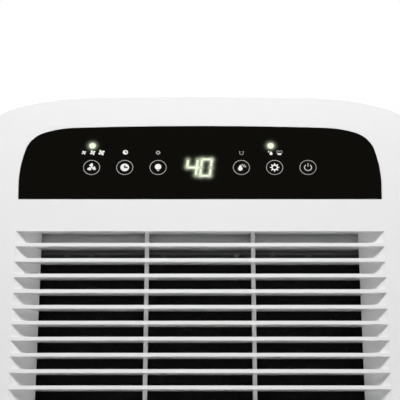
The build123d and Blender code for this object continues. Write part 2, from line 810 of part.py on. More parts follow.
with BuildPart() as tank_handle:
    arm_x = tank_half - tank_wall - 5.6
    for side in (-1, 1):
        ends = sorted((side * arm_x, side * (arm_x - 4)))
        rod((side * (arm_x - 2), handle_y, handle_z), 7, 4, "X")
        block((ends[0], handle_y - handle_reach, handle_z - 3), (ends[1], handle_y, handle_z + 3))
        rod((side * (arm_x + 2), handle_y, handle_z), pin_radius, 10, "X")
    rod((0, handle_y - handle_reach, handle_z), 4, 2 * arm_x, "X")

with BuildPart() as tank_float:
    rod((float_x, float_y, float_z), 2.5, 37, "X")
    block((float_x - 14, -20, float_z - 3), (float_x + 14, float_y + 2.4, float_z + 2.4))
    block((float_x - 14, -62, float_z - 24), (float_x + 14, -20, float_z + 2.4))

with BuildPart() as float_magnet:
    rod((float_x, -41, float_z + 4.4), 5, 4, "Z")


def caster_fork(x, y):
    """Swivel fork with its stem and axle."""
    with BuildPart() as fork:
        rod((x, y, 39), stem_radius, 11.6, "Z")
        rod((x, y, 31.6), 12, 4.2, "Z")
        for side in (-1, 1):
            centre = x + side * (wheel_half + 1.6)
            with BuildSketch(Plane.YZ.offset(centre - 1)):
                with BuildLine():
                    Polyline(
                        (y - 9, 33.6),
                        (y + 11, 33.6),
                        (y + caster_trail + 5, wheel_radius),
                        (y + caster_trail - 5, wheel_radius),
                        close=True,
                    )
                make_face()
                with Locations((y + caster_trail, wheel_radius)):
                    Circle(5)
            extrude(amount=2)
        rod((x, y + caster_trail, wheel_radius), axle_radius, 2 * wheel_half + 4, "X")
    return fork.part


def caster_wheel(x, y):
    """Wheel with rounded tread and a bored hub."""
    with BuildPart() as wheel:
        rod((x, y + caster_trail, wheel_radius), wheel_radius, 2 * wheel_half, "X")
        fillet(wheel.edges().filter_by(GeomType.CIRCLE), 2)
        rod((x, y + caster_trail, wheel_radius), axle_radius + running_gap, 60, "X", Mode.SUBTRACT)
    return wheel.part


save(front_shell.part, "front_shell")
save(rear_shell.part, "rear_shell")
save(exhaust_grille.part, "exhaust_grille")
save(left_grip.part, "left_grip")
save(right_grip.part, "right_grip")
save(control_panel.part, "control_panel")
save(panel_carrier.part, "panel_carrier")
save(display_board.part, "display_board")
save(digit_module.part, "digit_module")
save(touch_springs.part, "touch_springs")
save(humidity_sensor.part, "humidity_sensor")
save(intake_frame.part, "intake_frame")
save(filter_frame.part, "filter_frame")
save(filter_mesh.part, "filter_mesh")
save(coil_tubes(evaporator_y), "evaporator_tubes")
save(coil_fins(evaporator_y), "evaporator_fins")
save(coil_tubes(condenser_y), "condenser_tubes")
save(coil_fins(condenser_y), "condenser_fins")
save(drip_tray.part, "drip_tray")
save(bay_partition.part, "bay_partition")
save(fan_shroud.part, "fan_shroud")
save(motor_bracket.part, "motor_bracket")
save(fan_motor.part, "fan_motor")
save(fan_impeller.part, "fan_impeller")
save(compressor_feet.part, "compressor_feet")
save(compressor_can.part, "compressor_can")
save(terminal_cover.part, "terminal_cover")
save(compressor_grommets.part, "compressor_grommets")
save(compressor_studs.part, "compressor_studs")
save(accumulator.part, "accumulator")
save(accumulator_strap.part, "accumulator_strap")
save(suction_pipe, "suction_pipe")
save(discharge_pipe, "discharge_pipe")
save(filter_drier.part, "filter_drier")
save(control_box.part, "control_box")
save(control_box_lid.part, "control_box_lid")
save(main_board.part, "main_board")
save(run_capacitor.part, "run_capacitor")
save(tank_switch.part, "tank_switch")
save(drain_spout.part, "drain_spout")
save(drain_plug.part, "drain_plug")
save(cord_gland.part, "cord_gland")
save(shell_screw_set.part, "shell_screws")
save(base_screw_set.part, "base_screws")
save(base_pan.part, "base_pan")
save(water_tank.part, "water_tank")
save(tank_cover.part, "tank_cover")
save(level_window.part, "level_window")
save(tank_handle.part, "tank_handle")
save(tank_float.part, "tank_float")
save(float_magnet.part, "float_magnet")
for spot, (x, y) in caster_spots.items():
    save(caster_fork(x, y), f"caster_fork_{spot}")
    save(caster_wheel(x, y), f"caster_wheel_{spot}")
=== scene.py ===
"""Looks of a compressor dehumidifier: finishes for every piece, and the panel's printed and lit marks."""

import json
import math

import bmesh
import bpy
import numpy as np
from mathutils import Matrix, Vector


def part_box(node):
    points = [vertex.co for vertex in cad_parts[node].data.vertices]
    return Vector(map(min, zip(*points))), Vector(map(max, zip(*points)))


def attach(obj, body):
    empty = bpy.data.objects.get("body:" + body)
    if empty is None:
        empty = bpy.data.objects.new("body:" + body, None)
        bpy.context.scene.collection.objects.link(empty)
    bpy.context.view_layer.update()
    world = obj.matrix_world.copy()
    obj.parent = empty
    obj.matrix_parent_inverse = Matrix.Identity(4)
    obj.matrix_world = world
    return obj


bl_info = {
    "name": "Dehumidifier looks",
    "version": (1, 0, 0),
    "blender": (4, 5, 0),
    "location": "3D View > Sidebar > Dehumidifier",
    "description": "Finishes a dehumidifier's casing and draws its panel marks",
    "category": "Object",
}

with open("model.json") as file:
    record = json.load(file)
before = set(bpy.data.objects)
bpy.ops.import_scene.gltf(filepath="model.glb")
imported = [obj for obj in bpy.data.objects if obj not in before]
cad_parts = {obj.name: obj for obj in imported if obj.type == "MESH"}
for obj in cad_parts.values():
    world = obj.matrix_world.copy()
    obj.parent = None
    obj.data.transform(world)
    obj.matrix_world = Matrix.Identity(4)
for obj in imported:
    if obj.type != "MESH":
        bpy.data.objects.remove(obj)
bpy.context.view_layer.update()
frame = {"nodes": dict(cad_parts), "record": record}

MM = 0.001
LEAN = math.radians(17.0)
UP_FACE = np.array([0.0, math.sin(LEAN), math.cos(LEAN)])
OUT_OF_FACE = np.array([0.0, -math.cos(LEAN), math.sin(LEAN)])

# The panel's front face, worked out from its box: the lens leans by LEAN
panel_low, panel_high = (np.array(corner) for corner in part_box("control_panel"))
LENS_THICK = 0.0022
PANEL_SPAN = panel_high - panel_low
SPAN_ALONG_FACE = PANEL_SPAN[2] * math.cos(LEAN) + PANEL_SPAN[1] * math.sin(LEAN)
PANEL_HEIGHT = SPAN_ALONG_FACE - 2 * LENS_THICK * math.sin(LEAN) * math.cos(LEAN)
PANEL_FOOT = np.array([0.0, panel_low[1], panel_high[2] - PANEL_HEIGHT * math.cos(LEAN)])
FOOT_RISE = 0.9  # the panel's lower edge above the zero of the marks' heights, mm

# Heights of the thin layers above the panel's face
PRINT_LIFT = 0.03 * MM
PRINT_THICK = 0.027 * MM
OVER_PRINT_LIFT = PRINT_LIFT + 0.02 * MM
HAND_STEP = 0.01 * MM
GLOW_LIFT = 0.012 * MM

# Marks on the panel: across and up, in millimetres from the foot line's centre
KEY_ROW = 29.5
KEY_ACROSS = (-86.4, -60.0, -33.4, 33.0, 59.5, 86.1)
SMALL_ROW = 43.1
LAMP_ROW = 49.4
LAMP_ACROSS = (-86.2, 56.6)
DIGIT_ROW = 29.4
DIGITS_ACROSS = -0.85

# Symbols inside the key rings
KEY_FAN_RADIUS = 3.25
KEY_CLOCK_RADIUS = 3.45
KEY_GEAR = {"bore": 1.6, "outer": 3.85, "root": 2.45}
POWER_RADIUS = 3.15
POWER_LINE = 0.72
GEAR_TEETH = 8

# Small symbols: fans as across and radius, the others as across and up
SMALL_FANS = ((-92.9, 1.75), (-85.9, 2.15), (-78.8, 2.5))
SMALL_CLOCK = (-59.7, 43.4)
SMALL_CLOCK_RADIUS = 2.1
SMALL_GEAR_AT = (-33.5, SMALL_ROW)
SMALL_GEAR = {"bore": 0.75, "outer": 2.05, "root": 1.35}
BUCKET_AT = (33.2, SMALL_ROW - 0.2)
BUCKET_LEFT = [(-1.8, 1.6), (-1.35, 0.8), (-1.4, -1.0), (-0.9, -1.6)]
BUCKET = BUCKET_LEFT + [(-x, y) for x, y in reversed(BUCKET_LEFT)]
BUCKET_LEVEL = [(-1.4, 1.0), (1.4, 1.0)]
TUB_AT = (63.6, SMALL_ROW)
TUB_LEFT = [(-1.4, -1.6), (-2.3, 1.3), (-1.3, 1.9)]
TUB = TUB_LEFT + [(0.0, 1.0)] + [(-x, y) for x, y in reversed(TUB_LEFT)]
TUB_FILL = ((-2.2, 1.25), (-0.5, 1.65))  # height and half width at the fill's foot and top
OUTLINE_HALF = 0.24
LEVEL_HALF = 0.08

# Glow: the patch round the digits, half the patch round a dot, how it fades and its colour
DIGIT_GLOW_LOW = (-18.5, 14.0)
DIGIT_GLOW_HIGH = (16.5, 45.0)
LAMP_GLOW_HALF = 8
GLOW_FALL = 1.3
GLOW_MOST = 4.0
GLOW_TINT = np.array([0.86, 0.95, 0.70])

# Lights and camera, metres: size, place and turn of each light that has no setting of its own
KEY_SIZE = (1.4, 0.5)
FILL_SIZE = (1.8, 1.2)
FILL_AT = (0.0, -2.4, 0.8)
FILL_TURN = math.radians(85)
BACK_SIZE = (2.0, 1.0)
BACK_AT = (0.0, 1.8, 2.0)
BACK_TURN = math.radians(-46)
SIDE_SIZE = (1.6, 1.6)
SIDE_AT = (2.3, 0.5, 1.5)
SIDE_TURN = math.radians(-62)
FLOOR_DROP = 0.0002
SENSOR_WIDTH = 36.0
CLIP_START = 0.05


class PanelSettings(bpy.types.PropertyGroup):
    """Sizes of the marks on the control panel."""

    ring_radius: bpy.props.FloatProperty(
        name="Key ring radius", description="Outer radius of a touch key's ring, mm", default=6.66, min=1.0
    )
    ring_line: bpy.props.FloatProperty(
        name="Ring line", description="Width of a ring's printed line, mm", default=0.37, min=0.1
    )
    digit_half_width: bpy.props.FloatProperty(
        name="Digit half width", description="Half the width between a digit's upright bars, mm", default=3.85
    )
    digit_half_height: bpy.props.FloatProperty(
        name="Digit half height", description="Half the height between a digit's level bars, mm", default=7.5
    )
    digit_bar: bpy.props.FloatProperty(
        name="Digit bar", description="Width of a lit bar, mm", default=1.95, min=0.2
    )
    digit_pitch: bpy.props.FloatProperty(
        name="Digit pitch", description="Distance between the two digits, mm", default=11.15
    )
    digit_slant: bpy.props.FloatProperty(
        name="Digit slant", description="Lean of the digits", default=math.radians(6.4), subtype="ANGLE"
    )
    lamp_radius: bpy.props.FloatProperty(
        name="Lamp radius", description="Radius of a lit dot, mm", default=2.6, min=0.2
    )
    glow_reach: bpy.props.FloatProperty(
        name="Glow reach",
        description="Distance over which a lit mark's glow fades, mm",
        default=1.25,
        min=0.1,
    )
    glow_level: bpy.props.FloatProperty(
        name="Glow level", description="Brightness of the glow beside a lit mark", default=0.36, min=0.0
    )


class FinishSettings(bpy.types.PropertyGroup):
    """Colours of the main finishes."""

    casing: bpy.props.FloatVectorProperty(
        name="Casing", description="White of the casing", default=(0.87, 0.87, 0.868), size=3, subtype="COLOR"
    )
    panel: bpy.props.FloatVectorProperty(
        name="Panel",
        description="Black of the panel",
        default=(0.0042, 0.0038, 0.0028),
        size=3,
        subtype="COLOR",
    )
    print_white: bpy.props.FloatVectorProperty(
        name="White print", description="Printed symbols", default=(0.86, 0.86, 0.84), size=3, subtype="COLOR"
    )
    print_grey: bpy.props.FloatVectorProperty(
        name="Grey print", description="Printed rings", default=(0.56, 0.56, 0.54), size=3, subtype="COLOR"
    )
    light: bpy.props.FloatVectorProperty(
        name="Lit marks",
        description="Colour of the lit marks",
        default=(0.786, 0.863, 0.643),
        size=3,
        subtype="COLOR",
    )


class StageSettings(bpy.types.PropertyGroup):
    """Floor, lights and camera."""

    floor_half: bpy.props.FloatProperty(
        name="Floor half size", description="Half the floor's side", default=6.0, unit="LENGTH"
    )
    sky: bpy.props.FloatProperty(
        name="Sky", description="Level of the soft light all round", default=0.15
    )
    key_power: bpy.props.FloatProperty(
        name="Key light", description="Power of the light above, W", default=7.3
    )
    key_at: bpy.props.FloatVectorProperty(
        name="Key place",
        description="Centre of the light above",
        default=(0.0, -0.40, 2.2),
        unit="LENGTH",
    )
    key_tilt: bpy.props.FloatProperty(
        name="Key tilt",
        description="Turn of the light above towards the front",
        default=math.radians(11),
        subtype="ANGLE",
    )
    key_spread: bpy.props.FloatProperty(
        name="Key spread",
        description="Opening of the light's beam",
        default=math.radians(60),
        subtype="ANGLE",
    )
    fill_power: bpy.props.FloatProperty(
        name="Fill light", description="Power of the front light, W", default=1.6
    )
    back_power: bpy.props.FloatProperty(
        name="Back light", description="Power of the rear light, W", default=26.0
    )
    side_power: bpy.props.FloatProperty(
        name="Side lights", description="Power of each side light, W", default=36.0
    )
    camera_back: bpy.props.FloatProperty(
        name="Camera distance", description="Camera to the panel's foot line", default=1.580, unit="LENGTH"
    )
    camera_rise: bpy.props.FloatProperty(
        name="Camera tilt",
        description="How far the camera looks up",
        default=math.radians(11.4),
        subtype="ANGLE",
    )
    lens: bpy.props.FloatProperty(name="Lens", description="Focal length, mm", default=180.0)


# ---------------------------------------------------------------- mesh building


def grid_faces(rows, cols, wrap_rows, wrap_cols):
    """Quads of a grid of rows by cols points, row by row, closed on itself where a wrap is asked for."""
    r = np.arange(rows if wrap_rows else rows - 1)
    c = np.arange(cols if wrap_cols else cols - 1)
    rr, cc = np.meshgrid(r, c, indexing="ij")
    r2, c2 = (rr + 1) % rows, (cc + 1) % cols
    quads = np.stack([rr * cols + cc, rr * cols + c2, r2 * cols + c2, r2 * cols + cc], axis=-1)
    return quads.reshape(-1, 4)


def make_mesh(name, points, quads):
    """Mesh from arrays of points and quads, welded, with its faces pointing outwards."""
    mesh = bpy.data.meshes.new(name)
    mesh.from_pydata(points.tolist(), [], quads.tolist())
    mesh.validate()
    work = bmesh.new()
    work.from_mesh(mesh)
    bmesh.ops.remove_doubles(work, verts=work.verts, dist=1e-7)
    bmesh.ops.recalc_face_normals(work, faces=work.faces)
    work.to_mesh(mesh)
    work.free()
    return mesh


def add_piece(name, mesh, material, body):
    """Object for a mesh that rides on a body and takes its finish from a material slot."""
    piece = bpy.data.objects.new(name, mesh)
    bpy.context.scene.collection.objects.link(piece)
    mesh.materials.clear()
    mesh.materials.append(material)
    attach(piece, body)


def on_panel(marks, lift):
    """Points on the panel: across times X, plus up times the face's slope, plus lift along its normal."""
    marks = np.asarray(marks, float)
    across = marks[..., 0:1] * MM * np.array([1.0, 0.0, 0.0])
    up = (marks[..., 1:2] - FOOT_RISE) * MM * UP_FACE
    return PANEL_FOOT + across + up + lift * OUT_OF_FACE


def ribbon(left, right, closed, lift=PRINT_LIFT):
    """A thin closed slab between two edge lines: a four-cornered section carried along both of them."""
    low_left, low_right = on_panel(left, lift - PRINT_THICK), on_panel(right, lift - PRINT_THICK)
    high_left, high_right = on_panel(left, lift), on_panel(right, lift)
    points = np.stack([low_left, low_right, high_right, high_left], axis=1)
    count = points.shape[0]
    quads = grid_faces(count, 4, closed, True)
    if not closed:
        last = (count - 1) * 4
        ends = np.array([[0, 1, 2, 3], [last, last + 3, last + 2, last + 1]])
        quads = np.vstack([quads, ends])
    return points.reshape(-1, 3), quads


def ring(centre, inner, outer, steps=72):
    """Ring mark: two circles; outer may be a function of the angle, as for a gear."""
    angle = np.linspace(0, 2 * math.pi, steps, endpoint=False)
    spoke = np.stack([np.cos(angle), np.sin(angle)], axis=1)
    reach = outer(angle)[:, None] if callable(outer) else outer
    return ribbon(centre + spoke * inner, centre + spoke * reach, True)


def profile(centre, heights, half_widths):
    """Mark that is the same left and right: half widths carried up along the heights."""
    centre = np.asarray(centre, float)
    left = centre + np.stack([-half_widths, heights], axis=1)
    right = centre + np.stack([half_widths, heights], axis=1)
    return ribbon(left, right, False)


def disc(centre, radius, steps=40):
    """Disc: half width is the root of radius squared less height squared, short of the two poles."""
    off_pole = 0.03
    turn = np.linspace(off_pole, math.pi - off_pole, steps)
    return profile(centre, -radius * np.cos(turn), radius * np.sin(turn))


def stroke(line, half_widths, lift=PRINT_LIFT):
    """Stroke: the line offset to both sides, square to its direction, by the half widths."""
    line = np.asarray(line, float)
    along = np.gradient(line, axis=0)
    along /= np.linalg.norm(along, axis=1, keepdims=True)
    side = np.stack([-along[:, 1], along[:, 0]], axis=1) * np.asarray(half_widths, float).reshape(-1, 1)
    return ribbon(line + side, line - side, False, lift)


def bar(start, end, half_width, round_ends=True, lift=PRINT_LIFT, steps=9):
    """Straight stroke; rounded ends narrow it as a half circle does, from just off the tip."""
    start, end = np.asarray(start, float), np.asarray(end, float)
    span = np.linalg.norm(end - start)
    if not round_ends:
        return stroke(np.array([start, (start + end) / 2, end]), np.full(3, half_width), lift)
    off_tip = 0.12
    turn = np.linspace(off_tip, math.pi / 2, steps)
    head = half_width * (1 - np.cos(turn))
    t = np.concatenate([head, span - head[::-1]]) / span
    width = half_width * np.concatenate([np.sin(turn), np.sin(turn)[::-1]])
    return stroke(start + (end - start) * t[:, None], width, lift)


def join_marks(name, marks, material):
    """One piece from several marks, which rides on the cabinet."""
    points, quads, base = [], [], 0
    for mark_points, mark_quads in marks:
        points.append(mark_points)
        quads.append(mark_quads + base)
        base += len(mark_points)
    mesh = make_mesh(name, np.vstack(points), np.vstack(quads))
    add_piece(name, mesh, material, "cabinet")


# ---------------------------------------------------------------- the symbols


def fan_marks(centre, radius, blades, turn=0.0):
    """Swept blades: from a narrow root each widens and curls round, and ends in a broad rounded tip."""
    marks = []
    t = np.linspace(0.0, 1.0, 16)
    root, widest, sweep = 0.07, 2.2 / blades, 0.55
    for blade in range(blades):
        angle = turn + blade * 2 * math.pi / blades + sweep * t
        reach = radius * (0.04 + 0.94 * t)
        line = np.asarray(centre) + np.stack([np.cos(angle), np.sin(angle)], axis=1) * reach[:, None]
        width = radius * (root + widest * t**1.1) * np.sqrt(np.clip(1.0 - t**5, 0.01, 1))
        marks.append(stroke(line, width))
    marks.append(disc(centre, radius * 0.16, 14))
    return marks


def clock_hands(centre, radius):
    """Two hands, to twelve and to three, lying on the disc."""
    x, y = centre
    half = radius * 0.19
    return [
        bar((x, y - half), (x, y + radius * 0.56), half, False, OVER_PRINT_LIFT),
        bar((x - half, y), (x + radius * 0.66, y), half, False, OVER_PRINT_LIFT + HAND_STEP),
    ]


def tapered(centre, foot, top):
    """Mark with straight sides between two levels, each a height and a half width."""
    heights = np.linspace(foot[0], top[0], 5)
    return profile(centre, heights, np.interp(heights, [foot[0], top[0]], [foot[1], top[1]]))


def bulb_marks(centre):
    """Lamp symbol: a round bulb cut level where its cap begins."""
    radius, middle, top, cut = 2.6, 0.6, 3.2, -1.7
    heights = np.linspace(top, cut, 30)
    squared = np.clip(radius**2 - (heights - middle) ** 2, 0.0004, None)
    return [profile(centre, heights, np.sqrt(squared))]


def bulb_cap(centre):
    """Cap of the lamp symbol, wider at its top."""
    return [tapered(centre, (-3.2, 0.55), (-1.95, 1.35))]


def drop_marks(centre, width, height):
    """Drop: a half circle below that runs to a point above along a slightly hollow slope."""
    half = width / 2
    low = -height / 2 + half
    turn = np.linspace(0.05, math.pi / 2, 14)
    bottom = np.stack([low - half * np.cos(turn), half * np.sin(turn)], axis=1)
    t = np.linspace(0.06, 1, 16)
    slope = np.clip((1 - t) ** 0.95 * (1 + 0.35 * t), 0.01, None)
    top = np.stack([low + (height / 2 - low) * t, half * slope], axis=1)
    path = np.vstack([bottom, top])
    return [profile(centre, path[:, 0], path[:, 1])]


def percent_marks(centre, size):
    """Two small rings and a slanting stroke."""
    centre = np.asarray(centre, float)
    aside = size * np.array([-0.38, 0.24])
    slant = size * np.array([0.22, 0.45])
    bore, outer = size * 0.08, size * 0.25
    return [
        ring(centre + aside, bore, outer, 24),
        ring(centre - aside, bore, outer, 24),
        bar(centre - slant, centre + slant, bore, False),
    ]


def gear_mark(centre, sizes, steps):
    """Gear: its outline is a raised cosine of the angle, sharpened, between the root and outer radii."""

    def reach(angle):
        wave = 0.5 + 0.5 * np.cos(GEAR_TEETH * (angle - math.pi / 2))
        return sizes["root"] + (sizes["outer"] - sizes["root"]) * wave**1.4

    return ring(np.asarray(centre, float), sizes["bore"], reach, steps)


def power_marks(centre, outer, line):
    """Open ring with a bar through the gap at its top."""
    gap_half = 36
    angle = np.linspace(math.radians(90 + gap_half), math.radians(360 + 90 - gap_half), 60)
    spoke = np.stack([np.cos(angle), np.sin(angle)], axis=1)
    centre = np.asarray(centre, float)
    marks = [ribbon(centre + spoke * (outer - line), centre + spoke * outer, False)]
    marks.append(bar(centre + [0, 0.5], centre + [0, outer + 0.8], line * 0.36, False))
    return marks


def path_marks(centre, points, half_width):
    """Printed line through a few points: a round-ended bar for each stretch."""
    points = np.asarray(points, float) + np.asarray(centre, float)
    return [bar(start, end, half_width, steps=4) for start, end in zip(points[:-1], points[1:])]


def digit_bars(centre, shown, settings):
    """Centre lines of a seven-bar digit's lit bars, leaning by the slant."""
    w, h = settings.digit_half_width, settings.digit_half_height
    gap, corner = 1.0, 0.55
    lines = {
        "top": [(-w + corner, h), (w - corner, h)],
        "middle": [(-w + corner, 0), (w - corner, 0)],
        "bottom": [(-w + corner, -h), (w - corner, -h)],
        "upper_left": [(-w, gap), (-w, h - corner)],
        "upper_right": [(w, gap), (w, h - corner)],
        "lower_left": [(-w, -gap), (-w, -h + corner)],
        "lower_right": [(w, -gap), (w, -h + corner)],
    }
    slope = math.tan(settings.digit_slant)
    found = []
    for key in shown:
        ends = np.array(lines[key], float)
        ends[:, 0] += ends[:, 1] * slope
        found.append(ends + np.asarray(centre, float))
    return found


FOUR = ("upper_left", "upper_right", "middle", "lower_right")
ZERO = ("top", "upper_left", "upper_right", "lower_left", "lower_right", "bottom")


def lit_bars(settings):
    """Centre lines of every lit bar of the two digits."""
    left = digit_bars((DIGITS_ACROSS - settings.digit_pitch / 2, DIGIT_ROW), FOUR, settings)
    right = digit_bars((DIGITS_ACROSS + settings.digit_pitch / 2, DIGIT_ROW), ZERO, settings)
    return left + right


# ---------------------------------------------------------------- node groups and materials


def new_group(name, inputs, outputs):
    """Shader node group with named float, colour or vector sockets."""
    group = bpy.data.node_groups.new(name, "ShaderNodeTree")
    kinds = {"value": "NodeSocketFloat", "colour": "NodeSocketColor", "vector": "NodeSocketVector"}
    for socket, kind, default in inputs:
        item = group.interface.new_socket(socket, in_out="INPUT", socket_type=kinds[kind])
        item.default_value = default
    for socket, kind in outputs:
        group.interface.new_socket(socket, in_out="OUTPUT", socket_type=kinds[kind])
    return group, group.nodes.new("NodeGroupInput"), group.nodes.new("NodeGroupOutput")


def noise(tree, vector, scale, detail=2.0, roughness=0.5):
    """Noise texture fed by a vector socket; scale may be a number or a socket."""
    node = tree.nodes.new("ShaderNodeTexNoise")
    node.inputs["Detail"].default_value = detail
    node.inputs["Roughness"].default_value = roughness
    tree.links.new(vector, node.inputs["Vector"])
    if isinstance(scale, (int, float)):
        node.inputs["Scale"].default_value = scale
    else:
        tree.links.new(scale, node.inputs["Scale"])
    return node.outputs["Fac"]


def math_node(tree, operation, first, second=None, clamp=False):
    """Math node; each input may be a number or a socket."""
    node = tree.nodes.new("ShaderNodeMath")
    node.operation = operation
    node.use_clamp = clamp
    for slot, value in enumerate((first, second)):
        if value is None:
            continue
        if isinstance(value, (int, float)):
            node.inputs[slot].default_value = value
        else:
            tree.links.new(value, node.inputs[slot])
    return node.outputs[0]


def drift_group():
    """Slow drift of a colour's brightness over the surface."""
    group, inp, out = new_group(
        "Colour drift",
        [("Colour", "colour", (0.8, 0.8, 0.8, 1)), ("Amount", "value", 0.04), ("Scale", "value", 9.0)],
        [("Colour", "colour")],
    )
    place = group.nodes.new("ShaderNodeTexCoord").outputs["Object"]
    wide = noise(group, place, inp.outputs["Scale"], 3.0)
    centred = math_node(group, "SUBTRACT", wide, 0.5)
    drift = math_node(group, "MULTIPLY", centred, inp.outputs["Amount"])
    level = math_node(group, "ADD", drift, 1.0)
    scale = group.nodes.new("ShaderNodeVectorMath")
    scale.operation = "SCALE"
    group.links.new(inp.outputs["Colour"], scale.inputs[0])
    group.links.new(level, scale.inputs["Scale"])
    group.links.new(scale.outputs[0], out.inputs["Colour"])
    return group


def grain_group():
    """Moulded or cast grain: fine noise as a height, and a slow noise that shifts the roughness."""
    group, inp, out = new_group(
        "Moulded grain",
        [("Scale", "value", 1500.0), ("Roughness", "value", 0.4), ("Roughness drift", "value", 0.06)],
        [("Height", "value"), ("Roughness", "value")],
    )
    place = group.nodes.new("ShaderNodeTexCoord").outputs["Object"]
    fine = noise(group, place, inp.outputs["Scale"], 2.0, 0.6)
    slow = noise(group, place, 22.0, 3.0)
    centred = math_node(group, "SUBTRACT", slow, 0.5)
    shift = math_node(group, "MULTIPLY", centred, inp.outputs["Roughness drift"])
    group.links.new(fine, out.inputs["Height"])
    group.links.new(math_node(group, "ADD", shift, inp.outputs["Roughness"], True), out.inputs["Roughness"])
    return group


def drawn_group():
    """Fine lines along one direction, from noise that is squeezed across it."""
    group, inp, out = new_group(
        "Drawn lines",
        [("Stretch", "vector", (4.0, 900.0, 900.0)), ("Roughness", "value", 0.3)],
        [("Height", "value"), ("Roughness", "value")],
    )
    place = group.nodes.new("ShaderNodeTexCoord").outputs["Object"]
    squeeze = group.nodes.new("ShaderNodeVectorMath")
    squeeze.operation = "MULTIPLY"
    group.links.new(place, squeeze.inputs[0])
    group.links.new(inp.outputs["Stretch"], squeeze.inputs[1])
    lines = noise(group, squeeze.outputs[0], 1.0, 3.0, 0.6)
    shift = math_node(group, "MULTIPLY", math_node(group, "SUBTRACT", lines, 0.5), 0.22)
    group.links.new(lines, out.inputs["Height"])
    group.links.new(math_node(group, "ADD", shift, inp.outputs["Roughness"], True), out.inputs["Roughness"])
    return group


def weave_group():
    """Gauze: two crossed sets of threads on the leaning face, as a height."""
    group, inp, out = new_group("Gauze", [("Pitch", "value", 0.0012)], [("Height", "value")])
    place = group.nodes.new("ShaderNodeTexCoord").outputs["Object"]
    turn = group.nodes.new("ShaderNodeMapping")
    turn.inputs["Rotation"].default_value = (LEAN, 0.0, 0.0)
    group.links.new(place, turn.inputs["Vector"])
    split = group.nodes.new("ShaderNodeSeparateXYZ")
    group.links.new(turn.outputs[0], split.inputs[0])
    waves = []
    for axis in ("X", "Z"):
        count = math_node(group, "DIVIDE", split.outputs[axis], inp.outputs["Pitch"])
        phase = math_node(group, "MULTIPLY", count, math.pi)
        waves.append(math_node(group, "ABSOLUTE", math_node(group, "SINE", phase)))
    thread = math_node(group, "MAXIMUM", waves[0], waves[1])
    group.links.new(thread, out.inputs["Height"])
    return group


def dust_group():
    """Fine dust that lies on faces that look up: the normal's rise times a broken noise."""
    group, inp, out = new_group("Dust", [("Amount", "value", 0.2)], [("Mask", "value")])
    shape = group.nodes.new("ShaderNodeNewGeometry")
    split = group.nodes.new("ShaderNodeSeparateXYZ")
    group.links.new(shape.outputs["Normal"], split.inputs[0])
    rise = math_node(group, "POWER", math_node(group, "MAXIMUM", split.outputs["Z"], 0.0), 2.0)
    place = group.nodes.new("ShaderNodeTexCoord").outputs["Object"]
    broken = noise(group, place, 60.0, 5.0, 0.65)
    lying = math_node(group, "MULTIPLY", rise, broken)
    mask = math_node(group, "MULTIPLY", lying, inp.outputs["Amount"], True)
    group.links.new(mask, out.inputs["Mask"])
    return group


def build_groups():
    """Every shared node group, by name."""
    return {
        "drift": drift_group(),
        "grain": grain_group(),
        "drawn": drawn_group(),
        "gauze": weave_group(),
        "dust": dust_group(),
    }


GROUPS = {}


def use_group(tree, key, **values):
    """Places a shared group in a material with its own values."""
    node = tree.nodes.new("ShaderNodeGroup")
    node.node_tree = GROUPS[key]
    for name, value in values.items():
        node.inputs[name.replace("_", " ")].default_value = value
    return node


def new_finish(name, colour, drift=0.04, drift_scale=9.0, dust=0.0, **shader):
    """Material with a drifting base colour; returns it, its tree and its Principled node."""
    material = bpy.data.materials.new(name)
    material.use_nodes = True
    tree = material.node_tree
    principled = tree.nodes["Principled BSDF"]
    for key, value in shader.items():
        principled.inputs[key.replace("_", " ")].default_value = value
    base = use_group(tree, "drift", Colour=(*colour, 1), Amount=drift, Scale=drift_scale)
    result = base.outputs["Colour"]
    if dust > 0:
        mask = use_group(tree, "dust", Amount=dust)
        mix = tree.nodes.new("ShaderNodeMix")
        mix.data_type = "RGBA"
        mix.inputs["B"].default_value = (0.42, 0.40, 0.37, 1)
        tree.links.new(mask.outputs["Mask"], mix.inputs["Factor"])
        tree.links.new(result, mix.inputs["A"])
        result = mix.outputs["Result"]
    tree.links.new(result, principled.inputs["Base Color"])
    return material, tree, principled


def bump(tree, principled, height, strength, distance):
    """Bump from a height socket into the shader's normal."""
    node = tree.nodes.new("ShaderNodeBump")
    node.inputs["Strength"].default_value = strength
    node.inputs["Distance"].default_value = distance
    tree.links.new(height, node.inputs["Height"])
    tree.links.new(node.outputs["Normal"], principled.inputs["Normal"])


def moulded(
    name, colour, roughness, grain=1500.0, depth=0.00003, strength=0.25, drift=0.03, dust=0.0, **shader
):
    """Moulded plastic or rubber: grain as bump, drifting colour and roughness."""
    material, tree, principled = new_finish(name, colour, drift, 9.0, dust, **shader)
    skin = use_group(tree, "grain", Scale=grain, Roughness=roughness)
    tree.links.new(skin.outputs["Roughness"], principled.inputs["Roughness"])
    bump(tree, principled, skin.outputs["Height"], strength, depth)
    return material


def metal(name, colour, roughness, stretch, drift=0.10, dust=0.0):
    """Drawn or rolled metal: lines along one direction."""
    material, tree, principled = new_finish(name, colour, drift, 35.0, dust, Metallic=1.0)
    skin = use_group(tree, "drawn", Stretch=stretch, Roughness=roughness)
    tree.links.new(skin.outputs["Roughness"], principled.inputs["Roughness"])
    bump(tree, principled, skin.outputs["Height"], 0.25, 0.00004)
    return material


def gauze_finish():
    """Black woven filter gauze."""
    material, tree, principled = new_finish("gauze_black", (0.003, 0.003, 0.003), 0.2, 40.0)
    weave = use_group(tree, "gauze", Pitch=0.0012)
    principled.inputs["Roughness"].default_value = 0.85
    bump(tree, principled, weave.outputs["Height"], 0.8, 0.0004)
    return material


